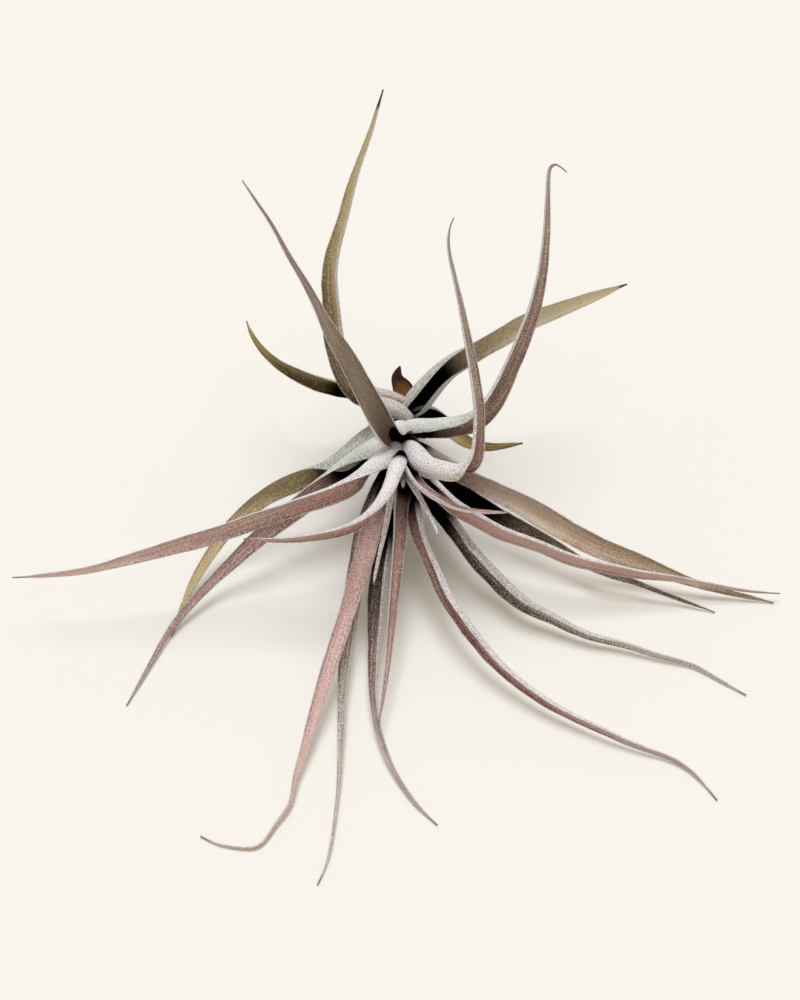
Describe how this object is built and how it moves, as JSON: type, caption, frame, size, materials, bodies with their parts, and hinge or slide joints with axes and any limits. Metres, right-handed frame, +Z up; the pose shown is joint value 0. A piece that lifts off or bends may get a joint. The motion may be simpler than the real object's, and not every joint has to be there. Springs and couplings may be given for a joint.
{
  "type": "air plant, peach tillandsia capitata",
  "caption": "Bare-rooted air plant lying on its side: a short stem with long, channelled, arching leaves, scurfy grey-white at the base and peach to olive further out.",
  "frame": {"origin": "the middle of the plant's footprint on the surface that it lies on", "axes": "+Z up from the surface; the crown points along -Y and a little up, and the longest side leaves run out along -X and +X"},
  "size_m": [0.2651, 0.2563, 0.1065],
  "materials": {
    "pink_leaf": "matt peach-pink leaf with fine grey scales, grey-white at its base",
    "mauve_leaf": "matt mauve-brown leaf with fine grey scales, grey-white at its base",
    "olive_leaf": "matt olive-gold leaf with fine grey scales, grey-green at its base",
    "umber_leaf": "matt dark brown leaf with a speckled grey margin and a pale tail",
    "young_leaf": "matt young leaf under a coat of white scales",
    "dried_sheath": "dry papery sheath, dark brown to amber",
    "stem": "rough brown stem with the scars of old leaves"
  },
  "bodies": {
    "root": {"stem": "stem", "centre_spike": "young_leaf", "young_spike_right": "young_leaf", "young_spike_left": "young_leaf", "young_leaf_right": "young_leaf", "short_left_leaf": "pink_leaf", "arching_left_leaf": "mauve_leaf", "front_middle_leaf": "pink_leaf", "long_left_leaf": "pink_leaf", "hooked_right_leaf": "pink_leaf", "front_kinked_leaf": "pink_leaf", "side_right_leaf_upper": "pink_leaf", "front_right_leaf": "pink_leaf", "tall_right_leaf": "mauve_leaf", "tall_back_leaf": "olive_leaf", "side_left_leaf_inner": "mauve_leaf", "side_right_leaf_back": "olive_leaf", "front_dark_leaf": "umber_leaf", "front_right_under_leaf": "umber_leaf", "side_right_leaf_dark": "umber_leaf", "front_under_leaf": "umber_leaf", "side_left_leaf_outer": "olive_leaf", "back_right_leaf": "olive_leaf", "back_left_leaf": "olive_leaf", "low_right_leaf": "olive_leaf", "dried_sheath": "dried_sheath"}
  },
  "joints": []
}
